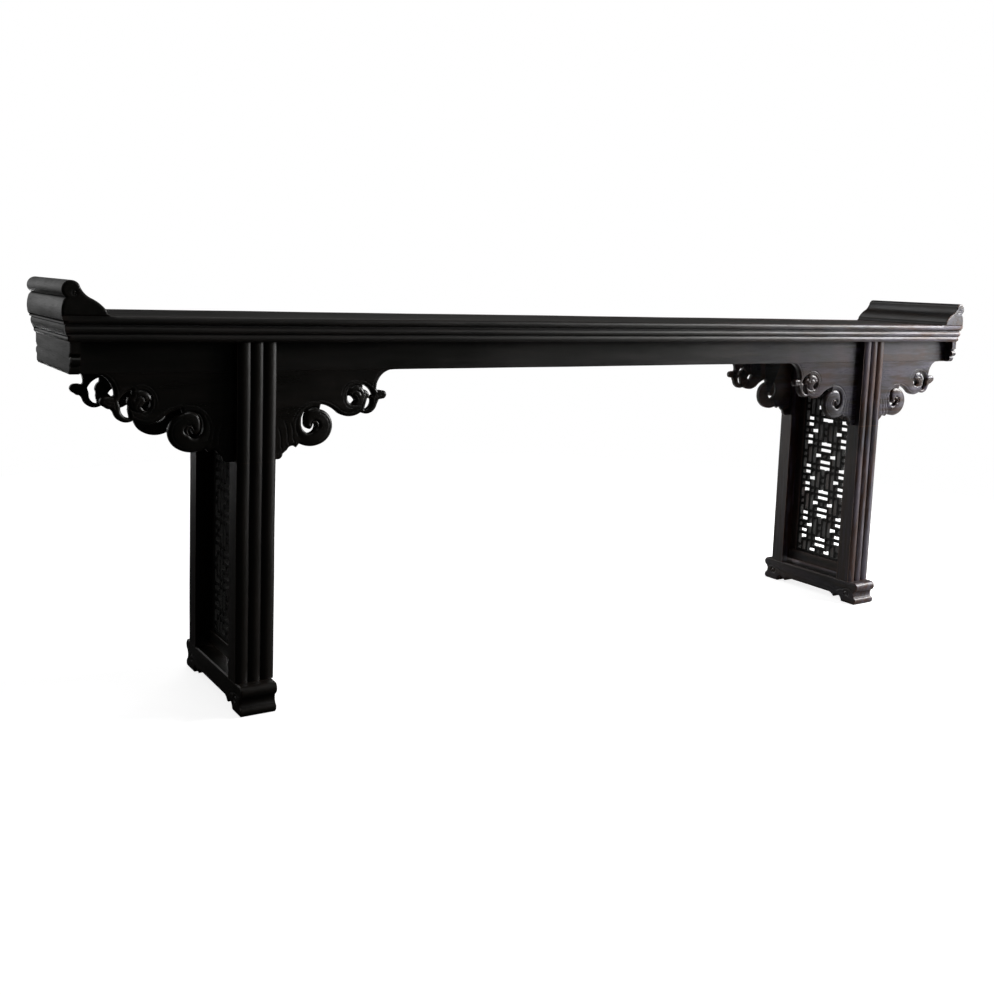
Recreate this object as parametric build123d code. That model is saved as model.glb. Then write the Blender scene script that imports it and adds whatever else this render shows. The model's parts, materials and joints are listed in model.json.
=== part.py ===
from build123d import *
import os

# Chinese altar table with everted ends, in millimetres.
# X runs along the table, the front faces -Y and Z is up from the floor.
# The origin is the centre of the footprint.
# Each piece is drawn once, in the rear right quarter (+X, +Y), and mirrored to the others.

# ---- Driving dimensions: the table as a whole ----
table_length = 2836.0        # over the fullest part of the two ends
top_depth = 362.0            # front to back over the moulded edge
surface_height = 887.0       # floor to table surface

# ---- Top frame and its moulded edge, from the surface down ----
rail_width = 96.0            # long members, across
end_width = 96.0             # short members, along the table
fascia_height = 17.0
fascia_swell = 6.0           # how far the fascia stands out from the quirk below it
surface_edge_rounding = 6.0  # the fascia's rounded upper edge, across
surface_edge_drop = 9.0      # the same rounding, down
quirk_height = 4.0
upper_bead_height = 15.5
upper_bead_swell = 5.0
lower_bead_height = 16.5
lower_bead_swell = 4.5
quirk_inset = 7.0            # from the outermost face of the edge to the quirk
bead_groove_inset = 8.0      # to the groove between the beads
edge_foot_inset = 9.5        # to the lower corner of the edge

# ---- Everted flange, as the end shows it ----
flange_rise = 70.5           # surface to the top of the roll
roll_radius = 18.0
roll_inset = 1.0             # outermost face of the roll, in from the fullest part of the end
end_taper = 17.0             # lower corner of the end, in from its fullest part
end_bead_height = 11.0
end_bead_swell = 2.0
end_cushion_height = 23.0
end_cushion_swell = 1.5
end_fillet_height = 9.0
end_fillet_inset = 5.0
end_step = 2.5               # each small step out between the end's bands
bulge_height = 36.0
bulge_swell = 2.5
roll_groove_drop = 16.0      # groove under the roll, below the roll's centre
roll_groove_reach = 10.0     # the same groove, outward of the roll's centre
crease_inset = 59.0          # crease on the inner face, in from the fullest part of the end
crease_rise = 34.5           # crease above the surface
crease_swell = 4.0
foot_cove_inset = 87.0       # where the flange's inner face meets its foot cove
foot_cove_rise = 11.5
foot_cove_swell = 2.0

# ---- Floating panel and its battens ----
panel_thickness = 22.0
panel_gap = 1.0              # room for the panel to move, all round
tongue_length = 8.0
tongue_thickness = 7.0
tongue_drop = 7.0            # surface to the top of the tongue
batten_count = 5
batten_end_inset = 362.0     # end of the panel's opening to the middle of the nearest batten
batten_width = 42.0
batten_height = 27.0
dovetail_depth = 6.0
dovetail_neck = 26.0
dovetail_head = 34.0
batten_tenon_length = 18.0
batten_tenon_width = 26.0
batten_tenon_height = 13.0

# ---- Hidden joints of the top frame ----
joint_clearance = 0.2        # round a tenon or tongue, each side
end_clearance = 1.5          # beyond the end of a tenon or tongue
mitre_tenon_width = 42.0
mitre_tenon_thickness = 13.0
mitre_tenon_drop = 28.0      # surface to the top of the mitre tenon
mitre_tenon_inset = 31.0     # outermost face of the edge to the tenon
mitre_tenon_cover = 23.0     # wood left between the tenon's end and the end face

# ---- Aprons ----
apron_setback = 35.0         # outermost face of the edge to the apron's face
apron_height = 66.0
apron_thickness = 14.0
apron_tongue = 6.0           # square tongue up into the top
apron_tongue_stop = 118.0    # from the end of the table to the end of the long tongue
end_apron_thickness = 20.0
end_apron_overhang = 26.0    # tip of the end apron, out from the long apron's face
end_apron_foot_inset = 19.0  # lower corner of the end apron, in from its tip
low_scallop_height = 18.0
low_scallop_inset = 9.0      # where the two scallops meet, in from the tip
low_scallop_swell = 6.5
high_scallop_height = 18.5
high_scallop_inset = 10.0    # notch above the upper scallop, in from the tip
high_scallop_swell = 11.0
notch_height = 6.5
end_apron_tongue_length = 200.0
apron_tenon_length = 10.0
apron_tenon_thickness = 6.0
apron_tenon_height = 42.0

# ---- Legs ----
leg_inset = 410.0            # end of the table to the middle of the leg
leg_width = 90.0
leg_depth = 50.0
leg_stand_proud = 22.0       # leg's face, out from the apron's face
slot_clearance = 0.4         # behind the apron, in the slot
reed_margin = 1.5            # flat between the leg's edge and the outermost reed
reed_swell = 5.0
reed_count = 3
top_tenon_width = 50.0
top_tenon_thickness = 12.0
top_tenon_length = 22.0
foot_tenon_width = 40.0
foot_tenon_thickness = 22.0
foot_tenon_length = 34.0

# ---- Cloud-scroll spandrels, drawn on carver's squares ----
spandrel_reach = 300.0
spandrel_drop = 199.0
squares_along = 60
squares_down = 40

# ---- Runners ----
runner_width = 85.0
runner_height = 69.0
toe_reach = 33.0             # toe of the runner, out from the leg's face
pad_length = 52.0
pad_inset = 10.0             # pad's outer edge, in from the toe
arch_height = 18.5
cusp_drop = 11.5             # the cusp behind the pad, down from the arch
cusp_spread = 33.0           # heel of the pad to the cusp
heel_notch_spread = 13.0
heel_notch_height = 18.0
arch_spring = 18.0           # cusp to the level part of the arch
toe_roll_height = 28.0
toe_roll_swell = 12.0
toe_roll_foot = 8.0          # foot of the toe roll, in from the toe
toe_roll_top = 17.0          # top of the toe roll, in from the toe
toe_bead_height = 12.0
toe_bead_swell = 6.0
toe_bead_inset = 13.0
waist_hollow = 6.0

# ---- Lattice frames between the legs ----
lower_rail_gap = 11.0        # runner to lower rail
lower_rail_height = 33.5
lower_rail_thickness = 26.0
lower_tenon_length = 20.0
lower_tenon_thickness = 10.0
upper_rail_drop = 21.5       # top frame to upper rail
upper_rail_least = 32.0      # the upper rail is at least this high
upper_rail_thickness = 30.0
upper_tenon_length = 5.0
upper_tenon_thickness = 14.0
rail_tenon_shoulder = 5.0    # above and below each cross rail's tenon
stile_least = 20.0           # a stile is at least this wide
stile_thickness = 16.0
stile_tongue = 4.0           # stile let into the leg
stile_tenon_length = 7.0
stile_tenon_inset = 4.0
lattice_pitch = 19.85
stick_width = 8.0
stick_depth = 12.0

# ---- Places that follow ----
half_length = table_length / 2
half_depth = top_depth / 2
inner_length = half_length - end_width
inner_depth = half_depth - rail_width
top_thickness = fascia_height + quirk_height + upper_bead_height + lower_bead_height
underside = surface_height - top_thickness
flange_top = surface_height + flange_rise
end_foot = half_length - end_taper
apron_face = half_depth - apron_setback
apron_back = apron_face - apron_thickness
apron_bottom = underside - apron_height
apron_end = end_foot - end_apron_thickness
leg_centre = half_length - leg_inset
leg_face = apron_face + leg_stand_proud
leg_back = leg_face - leg_depth
slot_floor = apron_bottom - spandrel_drop
toe = leg_face + toe_reach
lower_rail_bottom = runner_height + lower_rail_gap
field_bottom = lower_rail_bottom + lower_rail_height
upper_rail_top = underside - upper_rail_drop


def odd_count(room):
    """The largest odd number of lattice cells, with their closing stick, that the room holds."""
    cells = int((room - stick_width) / lattice_pitch)
    return cells - 1 + cells % 2


lattice_columns = odd_count(2 * (leg_back - stile_least))
lattice_rows = odd_count(upper_rail_top - upper_rail_least - field_bottom)
field_half_width = (lattice_columns * lattice_pitch + stick_width) / 2
field_height = lattice_rows * lattice_pitch + stick_width
upper_rail_bottom = field_bottom + field_height


# ---- Drawing helpers ----
def block(x, y, z):
    """Solid box between pairs of limits."""
    size = [limits[1] - limits[0] for limits in (x, y, z)]
    return Pos(x[0], y[0], z[0]) * Box(*size, align=(Align.MIN, Align.MIN, Align.MIN))


def outline(start, *runs):
    """Closed face from start through (end, bulge) runs: an arc that bulges to the left, or straight at 0."""
    edges = []
    here = start
    for there, bulge in runs:
        edges.append(SagittaArc(here, there, bulge) if bulge else Line(here, there))
        here = there
    if here != start:
        edges.append(Line(here, start))
    return make_face(edges)


def lengthwise(face, x_from, x_to):
    """A face drawn as (Y, Z), extruded along X between two places."""
    return Pos(x_from, 0, 0) * extrude(Plane.YZ * face, x_to - x_from)


def crosswise(face, y_from, y_to):
    """A face drawn as (X, Z), extruded along Y between two places."""
    return Pos(0, y_to, 0) * extrude(Plane.XZ * face, y_to - y_from)


def upright(face, z_from, z_to):
    """A face drawn as (X, Y), extruded up between two places."""
    return Pos(0, 0, z_from) * extrude(face, z_to - z_from)


def quarter(piece, x_sign, y_sign):
    """The rear right piece, mirrored to the side and face with these signs."""
    if x_sign < 0:
        piece = mirror(piece, about=Plane.YZ)
    if y_sign < 0:
        piece = mirror(piece, about=Plane.XZ)
    return piece


def grown(limits, by):
    """A pair of limits, wider by the same amount at both ends."""
    return (limits[0] - by, limits[1] + by)


def both_ways(half):
    """Limits that run as far to each side of the middle."""
    return (-half, half)


def both_ways_from(middle, half):
    """Limits that run as far to each side of a place."""
    return (middle - half, middle + half)


def save(piece, name):
    """Write one node's file."""
    export_step(piece, f"parts/{name}.step")


# ---- Table top ----
def edge_section():
    """Half section of the top across the table: two beads, quirk and fascia, square above."""
    bead_top = surface_height - fascia_height - quirk_height
    bead_groove = bead_top - upper_bead_height
    quirk = half_depth - quirk_inset
    return outline(
        (0, underside),
        ((half_depth - edge_foot_inset, underside), 0),
        ((half_depth - bead_groove_inset, bead_groove), -lower_bead_swell),
        ((quirk, bead_top), -upper_bead_swell),
        ((quirk, bead_top + quirk_height), 0),
        ((half_depth, surface_height - surface_edge_drop), -fascia_swell / 3),
        ((half_depth, flange_top + 1), 0),
        ((0, flange_top + 1), 0),
    )


def surface_edge_waste():
    """What is rounded off the upper edge of a long rail."""
    face = outline(
        (half_depth - surface_edge_rounding, surface_height),
        ((half_depth, surface_height - surface_edge_drop), -surface_edge_rounding / 3),
        ((half_depth + 1, surface_height - surface_edge_drop), 0),
        ((half_depth + 1, surface_height + 1), 0),
        ((half_depth - surface_edge_rounding, surface_height + 1), 0),
    )
    return lengthwise(face, -inner_length, inner_length)


def end_profile():
    """The end of the top with its flange, seen from the front: bands, bulge, groove, roll and inner face."""
    roll_centre = half_length - roll_inset - roll_radius
    roll_middle = flange_top - roll_radius
    bead_top = underside + end_bead_height
    cushion_top = bead_top + end_cushion_height
    fillet_top = cushion_top + end_fillet_height
    fillet_face = half_length - end_fillet_inset
    bulge_face = fillet_face + end_step
    cushion_face = fillet_face - end_step
    bead_face = end_foot + end_step
    groove = (roll_centre + roll_groove_reach, roll_middle - roll_groove_drop)
    roll_inner = (roll_centre - roll_radius * 0.85, roll_middle + roll_radius * 0.53)
    return outline(
        (inner_length, underside),
        ((end_foot, underside), 0),
        ((bead_face, bead_top), -end_bead_swell),
        ((bead_face + end_step, bead_top), 0),
        ((cushion_face, cushion_top), -end_cushion_swell),
        ((fillet_face, cushion_top), 0),
        ((fillet_face, fillet_top), 0),
        ((bulge_face, fillet_top), 0),
        ((bulge_face, fillet_top + bulge_height), -bulge_swell),
        (groove, -bulge_swell / 2),
        (roll_inner, -roll_radius * 1.25),
        ((half_length - crease_inset, surface_height + crease_rise), crease_swell),
        ((half_length - foot_cove_inset, surface_height + foot_cove_rise), -crease_swell / 2),
        ((inner_length, surface_height), foot_cove_swell),
    )


def frame_plan(across):
    """Plan of one member of the mitred frame: a long rail if across is false, an end if it is true."""
    if across:
        points = [(inner_length, -inner_depth), (half_length, -half_depth),
                  (half_length, half_depth), (inner_length, inner_depth)]
    else:
        points = [(-inner_length, inner_depth), (inner_length, inner_depth),
                  (half_length, half_depth), (-half_length, half_depth)]
    return make_face(Polyline(*points, close=True))


def mitre_tenon(clearance):
    """Hidden tenon at the right end of the rear rail, or its mortise when clearance is given."""
    outer = half_depth - mitre_tenon_inset
    top = surface_height - mitre_tenon_drop
    end = half_length - mitre_tenon_cover
    return block(
        (inner_length, end + (end_clearance if clearance else 0)),
        grown((outer - mitre_tenon_width, outer), clearance),
        grown((top - mitre_tenon_thickness, top), clearance),
    )


def panel_groove():
    """Groove round the inside of the frame, for the panel's tongue."""
    reach = tongue_length - panel_gap + end_clearance
    top = surface_height - tongue_drop
    return block(
        both_ways(inner_length + reach),
        both_ways(inner_depth + reach),
        (top - tongue_thickness, top),
    )


def leg_tenon(clearance):
    """Tenon on top of the rear right leg, or its mortise when clearance is given."""
    middle = (apron_face + leg_face) / 2
    half = top_tenon_thickness / 2
    return block(
        grown((leg_centre - top_tenon_width / 2, leg_centre + top_tenon_width / 2), clearance),
        grown((middle - half, middle + half), clearance),
        (underside, underside + top_tenon_length + (end_clearance if clearance else 0)),
    )


def batten_places():
    """Middle of each batten, from left to right."""
    last = inner_length - batten_end_inset
    return [last * (2 * step / (batten_count - 1) - 1) for step in range(batten_count)]


def batten_tenon(clearance):
    """Both tenons of a batten at the middle of the table, or their mortises, as one bar."""
    low = surface_height - panel_thickness - batten_height / 2 - batten_tenon_height / 2
    reach = inner_depth + batten_tenon_length + (end_clearance if clearance else 0)
    return block(
        both_ways(batten_tenon_width / 2 + clearance),
        both_ways(reach),
        grown((low, low + batten_tenon_height), clearance),
    )


def apron_groove_limits(clearance):
    """Limits across a long apron's tongue, and up it."""
    middle = (apron_face + apron_back) / 2
    across = grown((middle - apron_tongue / 2, middle + apron_tongue / 2), clearance)
    return across, (underside, underside + apron_tongue + clearance)


def end_apron_tongue(clearance):
    """Tongue on top of the right end apron, or its groove when clearance is given."""
    middle = end_foot - end_apron_thickness / 2
    return block(
        grown((middle - apron_tongue / 2, middle + apron_tongue / 2), clearance),
        both_ways(end_apron_tongue_length / 2 + clearance),
        (underside, underside + apron_tongue + clearance),
    )


def top_blank():
    """The whole top before it is divided: the end profile both ways, cut to the moulded edge."""
    end = crosswise(end_profile(), -half_depth, half_depth)
    middle = block(both_ways(inner_length), both_ways(half_depth), (underside, surface_height))
    half_edge = lengthwise(edge_section(), -half_length, half_length)
    edge = half_edge + mirror(half_edge, about=Plane.XZ)
    return (middle + end + mirror(end, about=Plane.YZ)) & edge


def top_rail(blank):
    """Rear rail of the frame: mitred, tenoned, and housed for everything that meets it."""
    tongue_across, tongue_up = apron_groove_limits(joint_clearance)
    tongue_end = half_length - apron_tongue_stop + joint_clearance
    rail = blank & upright(frame_plan(across=False), underside, surface_height)
    rail += mitre_tenon(0)
    rail += mirror(mitre_tenon(0), about=Plane.YZ)
    rail -= surface_edge_waste()
    rail -= panel_groove()
    rail -= block(both_ways(tongue_end), tongue_across, tongue_up)
    for x_sign in (-1, 1):
        rail -= quarter(leg_tenon(joint_clearance), x_sign, 1)
    for place in batten_places():
        rail -= Pos(place, 0, 0) * batten_tenon(joint_clearance)
    return rail


def flanged_end(blank):
    """Right end of the frame, one piece with its flange."""
    lower = blank & upright(frame_plan(across=True), underside, surface_height)
    upper = blank & block((inner_length, half_length), both_ways(half_depth), (surface_height, flange_top))
    end = lower + upper
    end -= mitre_tenon(joint_clearance)
    end -= mirror(mitre_tenon(joint_clearance), about=Plane.XZ)
    end -= panel_groove()
    end -= end_apron_tongue(joint_clearance)
    return end


def dovetail(clearance, half):
    """Dovetail along the top of a batten at the middle of the table, or its housing."""
    shoulder = surface_height - panel_thickness
    neck = dovetail_neck / 2 + clearance
    head = dovetail_head / 2 + clearance
    top = shoulder + dovetail_depth + clearance
    face = make_face(Polyline((-neck, shoulder), (neck, shoulder), (head, top), (-head, top), close=True))
    return crosswise(face, -half, half)


def top_panel():
    """Floating board, tongued all round and housed for the battens."""
    length = inner_length - panel_gap
    depth = inner_depth - panel_gap
    tongue_top = surface_height - tongue_drop
    panel = block(both_ways(length), both_ways(depth), (surface_height - panel_thickness, surface_height))
    panel += block(
        both_ways(length + tongue_length),
        both_ways(depth + tongue_length),
        (tongue_top - tongue_thickness, tongue_top),
    )
    for place in batten_places():
        panel -= Pos(place, 0, 0) * dovetail(joint_clearance, depth)
    return panel


def batten():
    """One batten at the middle of the table."""
    shoulder = surface_height - panel_thickness
    body = block(both_ways(batten_width / 2), both_ways(inner_depth), (shoulder - batten_height, shoulder))
    return body + dovetail(0, inner_depth - panel_gap) + batten_tenon(0)


# ---- Aprons ----
def apron_tenon(clearance):
    """Tenon at the right end of the rear apron, or its mortise when clearance is given."""
    across = (apron_face + apron_back) / 2
    up = (apron_bottom + underside) / 2
    return block(
        (apron_end, apron_end + apron_tenon_length + (end_clearance if clearance else 0)),
        grown((across - apron_tenon_thickness / 2, across + apron_tenon_thickness / 2), clearance),
        grown((up - apron_tenon_height / 2, up + apron_tenon_height / 2), clearance),
    )


def long_apron():
    """Rear apron: a straight board through both bridle slots, tongued to the top and tenoned to the ends."""
    tongue_across, tongue_up = apron_groove_limits(0)
    apron = block(both_ways(apron_end), (apron_back, apron_face), (apron_bottom, underside))
    apron += block(both_ways(half_length - apron_tongue_stop), tongue_across, tongue_up)
    apron += apron_tenon(0)
    return apron + mirror(apron_tenon(0), about=Plane.YZ)


def end_apron():
    """Right end apron, its two ends cut in two scallops that step inward as they go down."""
    tip = apron_face + end_apron_overhang
    meeting = apron_bottom + low_scallop_height
    notch = meeting + high_scallop_height
    face = outline(
        (0, underside),
        ((0, apron_bottom), 0),
        ((tip - end_apron_foot_inset, apron_bottom), 0),
        ((tip - low_scallop_inset, meeting), -low_scallop_swell),
        ((tip - high_scallop_inset, notch), -high_scallop_swell),
        ((tip, notch + notch_height), 0),
        ((tip, underside), 0),
    )
    half = lengthwise(face, apron_end, end_foot)
    apron = half + mirror(half, about=Plane.XZ) + end_apron_tongue(0)
    apron -= apron_tenon(joint_clearance)
    return apron - mirror(apron_tenon(joint_clearance), about=Plane.XZ)


# ---- Spandrels ----
def on_squares(*points):
    """Outline drawn on the carver's squares: along from the leg's edge, down from the apron."""
    along = spandrel_reach / squares_along
    down = spandrel_drop / squares_down
    (first_x, first_y), *rest = points
    runs = [((x * along, -y * down), bulge * (along + down) / 2) for x, y, bulge in rest]
    return outline((first_x * along, -first_y * down), *runs)


def scrollwork():
    """Face of a spandrel: two scrolls on a rising stem, pierced between the bands, and a leaf by the leg."""
    silhouette = on_squares(
        (0, 0), (60, 0, 0),
        (51.1, 9.2, -2.7), (51.7, 10, 0),
        (54.3, 10.1, 0), (54.1, 13.9, 2), (52.5, 14, 0), (51.5, 16.4, 0),
        (43.3, 20, 2.3), (31.5, 19.8, 1.8), (23.1, 15.6, -0.75),
        (22.5, 17.8, 0), (28.9, 25.7, 1.8), (24.9, 33, 1), (12.7, 33.3, 1.65),
        (11.3, 35, 0), (7.1, 35.8, -1.2), (4.9, 37.6, 0), (2.2, 40, 0.9), (0, 40, 0),
    )
    outer_crescent = on_squares((43.9, 7), (49.1, 11.8, 0.85), (47.5, 13, 0), (44.1, 9.2, -1.05))
    inner_crescent = on_squares((46.4, 13.6), (48.2, 14, 0.4), (44.9, 18.8, 1.3))
    teardrop = on_squares((36.3, 12), (40.1, 14.4, 0.75), (38.5, 16, 0), (36.3, 12, 0.95))
    hook = on_squares(
        (14.1, 18), (15.1, 28.3, -2.2), (19.7, 26.9, -1.1),
        (19.7, 24.9, 0), (14.9, 26.1, 1.55), (14.1, 20.2, 0),
    )
    return silhouette - outer_crescent - inner_crescent - teardrop - hook


def outer_spandrel():
    """Rear right spandrel on the outside of the leg, with the tongue that fills its half of the slot."""
    leg_edge = leg_centre + leg_width / 2
    carved = crosswise(Pos(leg_edge, apron_bottom) * scrollwork(), apron_back, apron_face)
    tongue = block((leg_centre, leg_edge), (apron_back, apron_face), (slot_floor, apron_bottom))
    return carved + tongue


def inner_spandrel():
    """The same spandrel turned about the middle of the leg, towards the middle of the table."""
    return mirror(outer_spandrel(), about=Plane.YZ.offset(leg_centre))


# ---- Legs and runners ----
def leg_section():
    """Plan of the rear right leg: plain back and sides, and three full reeds across the face."""
    half = leg_width / 2
    fillet_line = leg_face - reed_swell
    reed = (leg_width - 2 * reed_margin) / reed_count
    runs = [((half, leg_back), 0), ((half, fillet_line), 0), ((half - reed_margin, fillet_line), 0)]
    for step in range(1, reed_count + 1):
        runs.append(((half - reed_margin - step * reed, fillet_line), -reed_swell))
    runs.append(((-half, fillet_line), 0))
    return Pos(leg_centre, 0) * outline((-half, leg_back), *runs)


def foot_tenon(clearance):
    """Tenon under the rear right leg, or its mortise when clearance is given."""
    middle = (leg_face + leg_back) / 2
    half_x = foot_tenon_width / 2
    half_y = foot_tenon_thickness / 2
    return block(
        grown((leg_centre - half_x, leg_centre + half_x), clearance),
        grown((middle - half_y, middle + half_y), clearance),
        (runner_height - foot_tenon_length - (end_clearance if clearance else 0), runner_height),
    )


def leg():
    """Rear right leg: open slot for apron and spandrels, tenons up and down, housed for the lattice frame."""
    slot = block(
        grown((leg_centre - leg_width / 2, leg_centre + leg_width / 2), 1),
        (apron_back - slot_clearance, apron_face),
        (slot_floor, underside + 1),
    )
    body = upright(leg_section(), runner_height, underside) - slot
    body += leg_tenon(0)
    body += foot_tenon(0)
    body -= cross_rail_tenon(lower_rail(), joint_clearance)
    body -= cross_rail_tenon(upper_rail(), joint_clearance)
    return body - stile_groove()


def runner_profile():
    """Rear half of a runner, seen from the end: level arch, cusp, notched heel, pad and scrolled toe."""
    pad_edge = toe - pad_inset
    heel = pad_edge - pad_length
    cusp = heel - cusp_spread
    toe_roll_low = runner_height - toe_roll_height
    return outline(
        (0, runner_height),
        ((0, arch_height), 0),
        ((cusp - arch_spring, arch_height), 0),
        ((cusp, arch_height - cusp_drop), arch_spring / 8),
        ((heel - heel_notch_spread, heel_notch_height), arch_spring / 8),
        ((heel, 0), heel_notch_spread / 5),
        ((pad_edge, 0), 0),
        ((toe - toe_bead_inset, toe_bead_height), -toe_bead_swell),
        ((toe - toe_roll_foot, toe_roll_low), waist_hollow),
        ((toe - toe_roll_top, runner_height), -toe_roll_swell),
    )


def runner():
    """Right runner under both right legs."""
    x_from = leg_centre - runner_width / 2
    half = lengthwise(runner_profile(), x_from, x_from + runner_width)
    body = half + mirror(half, about=Plane.XZ)
    body -= foot_tenon(joint_clearance)
    return body - mirror(foot_tenon(joint_clearance), about=Plane.XZ)


# ---- Lattice frames ----
def lower_rail():
    """Size and place of the right lower rail: its limits along X and Z, its tenons' thickness and length."""
    along = (leg_centre - lower_rail_thickness / 2, leg_centre + lower_rail_thickness / 2)
    return along, (lower_rail_bottom, field_bottom), lower_tenon_thickness, lower_tenon_length


def upper_rail():
    """Size and place of the right upper rail, given as for the lower one."""
    along = (leg_centre - upper_rail_thickness / 2, leg_centre + upper_rail_thickness / 2)
    return along, (upper_rail_bottom, upper_rail_top), upper_tenon_thickness, upper_tenon_length


def cross_rail_tenon(rail, clearance):
    """Both tenons of a cross rail, or their mortises when clearance is given, as one bar."""
    up, thickness, length = rail[1:]
    return block(
        both_ways_from(leg_centre, thickness / 2 + clearance),
        both_ways(leg_back + length + clearance),
        grown((up[0] + rail_tenon_shoulder, up[1] - rail_tenon_shoulder), clearance),
    )


def stile_tenons(clearance):
    """Tenons at both ends of the rear right stile, or their mortises when clearance is given."""
    half = stile_thickness / 2 - stile_tenon_inset
    room = end_clearance if clearance else 0
    return block(
        both_ways_from(leg_centre, half + clearance),
        grown((field_half_width + stile_tenon_inset, leg_back - stile_tenon_inset), clearance),
        (field_bottom - stile_tenon_length - room, upper_rail_bottom + stile_tenon_length + room),
    )


def cross_rail(rail):
    """A right cross rail between the two right legs, mortised for the stiles."""
    along, up = rail[:2]
    body = block(along, both_ways(leg_back), up) + cross_rail_tenon(rail, 0)
    body -= stile_tenons(joint_clearance)
    return body - mirror(stile_tenons(joint_clearance), about=Plane.XZ)


def stile_groove():
    """Groove in the rear right leg for its stile."""
    return block(
        both_ways_from(leg_centre, stile_thickness / 2),
        (leg_back - 1, leg_back + stile_tongue + joint_clearance),
        (field_bottom, upper_rail_bottom),
    )


def stile():
    """Rear right stile, let into the leg and tenoned to both cross rails."""
    body = block(
        both_ways_from(leg_centre, stile_thickness / 2),
        (field_half_width, leg_back + stile_tongue),
        (field_bottom, upper_rail_bottom),
    )
    return body + stile_tenons(0)


def open_slots(column, row):
    """The open slots of the weave that a cell lies in.

    Blocks four cells apart lie down and stand up by turns. Each is a closed middle cell, a short slot at
    either end of it and two long slots along either side.
    """
    slots = set()
    for block_column in (column - column % 4, column - column % 4 + 4):
        for block_row in (row - row % 4, row - row % 4 + 4):
            along, across = column - block_column, row - block_row
            if (block_column + block_row) % 8:
                along, across = across, along
            if abs(along) <= 1 and 1 <= abs(across) <= 2:
                slots.add((block_column, block_row, "long slot", across))
            if across == 0 and 1 <= abs(along) <= 2:
                slots.add((block_column, block_row, "short slot", along > 0))
    return slots


half_columns = (lattice_columns - 1) // 2
half_rows = (lattice_rows - 1) // 2


def parted(cell, neighbour):
    """Whether a stick parts two neighbouring cells: at the field's edge, or where they share no slot."""
    inside = [abs(column) <= half_columns and abs(row) <= half_rows for column, row in (cell, neighbour)]
    if not any(inside):
        return False
    return not all(inside) or not open_slots(*cell) & open_slots(*neighbour)


def stands(line, row):
    """Whether an upright runs past this row, on the line between cell columns line and line + 1."""
    return parted((line, row), (line + 1, row))


def lies(line, column):
    """Whether a crossbar runs past this column, on the line between cell rows line and line + 1."""
    return parted((column, line), (column, line + 1))


def upright_passes(line, level):
    """Whether the upright fills the crossing of two lines, and the crossbar butts against it."""
    below, above = stands(line, level), stands(line, level + 1)
    left, right = lies(level, line), lies(level, line + 1)
    return (below and above) or ((below or above) and not (left and right))


def stick_runs(present, passes, last):
    """Limits of each unbroken stick along one line, in millimetres from the middle of the field."""
    overlap = stick_width / 2
    runs = []
    start = None
    for cell in range(-last, last + 1):
        if not present(cell):
            continue
        if start is None:
            start = (cell - 0.5) * lattice_pitch + (-overlap if passes(cell - 1) else overlap)
        if not (passes(cell) and present(cell + 1)):
            runs.append((start, (cell + 0.5) * lattice_pitch + (overlap if passes(cell) else -overlap)))
            start = None
    return runs


def upright_runs(line):
    """Unbroken runs of the uprights on one line."""
    return stick_runs(lambda row: stands(line, row), lambda level: upright_passes(line, level), half_rows)


def crossbar_runs(line):
    """Unbroken runs of the crossbars on one line."""
    return stick_runs(lambda column: lies(line, column), lambda at: not upright_passes(at, line),
                      half_columns)


def lattice():
    """Uprights and crossbars of the right lattice, as two lists of sticks."""
    through = both_ways_from(leg_centre, stick_depth / 2)
    middle = (field_bottom + upper_rail_bottom) / 2
    uprights = []
    for line in range(-half_columns - 1, half_columns + 1):
        across = both_ways_from((line + 0.5) * lattice_pitch, stick_width / 2)
        for low, high in upright_runs(line):
            uprights.append(block(through, across, (middle + low, middle + high)))
    crossbars = []
    for line in range(-half_rows - 1, half_rows + 1):
        up = both_ways_from(middle + (line + 0.5) * lattice_pitch, stick_width / 2)
        for run in crossbar_runs(line):
            crossbars.append(block(through, run, up))
    return uprights, crossbars


# ---- Build every node ----
def build():
    """Write one file for each piece, for each matching pair of spandrels, and for each lattice's sticks."""
    os.makedirs("parts", exist_ok=True)
    sides = (("left", -1), ("right", 1))
    faces = (("front", -1), ("rear", 1))
    blank = top_blank()
    rail = top_rail(blank)
    end = flanged_end(blank)
    spandrels = (("outer", outer_spandrel()), ("inner", inner_spandrel()))
    uprights, crossbars = lattice()

    save(top_panel(), "top_panel")
    for number, place in enumerate(batten_places(), start=1):
        save(Pos(place, 0, 0) * batten(), f"batten_{number}")
    for face, y_sign in faces:
        save(quarter(rail, 1, y_sign), f"{face}_top_rail")
        save(quarter(long_apron(), 1, y_sign), f"{face}_apron")
        for place, spandrel in spandrels:
            pair = Compound([quarter(spandrel, x_sign, y_sign) for side, x_sign in sides])
            save(pair, f"{face}_{place}_spandrels")
    for side, x_sign in sides:
        save(quarter(end, x_sign, 1), f"{side}_flanged_end")
        save(quarter(end_apron(), x_sign, 1), f"{side}_end_apron")
        save(quarter(runner(), x_sign, 1), f"{side}_runner")
        save(quarter(cross_rail(upper_rail()), x_sign, 1), f"{side}_upper_rail")
        save(quarter(cross_rail(lower_rail()), x_sign, 1), f"{side}_lower_rail")
        save(Compound([quarter(stick, x_sign, 1) for stick in uprights]), f"{side}_lattice_uprights")
        save(Compound([quarter(stick, x_sign, 1) for stick in crossbars]), f"{side}_lattice_crossbars")
        for face, y_sign in faces:
            save(quarter(leg(), x_sign, y_sign), f"{face}_{side}_leg")
            save(quarter(stile(), x_sign, y_sign), f"{face}_{side}_lattice_stile")


build()
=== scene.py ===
import functools
import json
import math

import bmesh
import bpy
import numpy as np
from mathutils import Matrix, Vector
from mathutils.geometry import delaunay_2d_cdt


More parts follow.
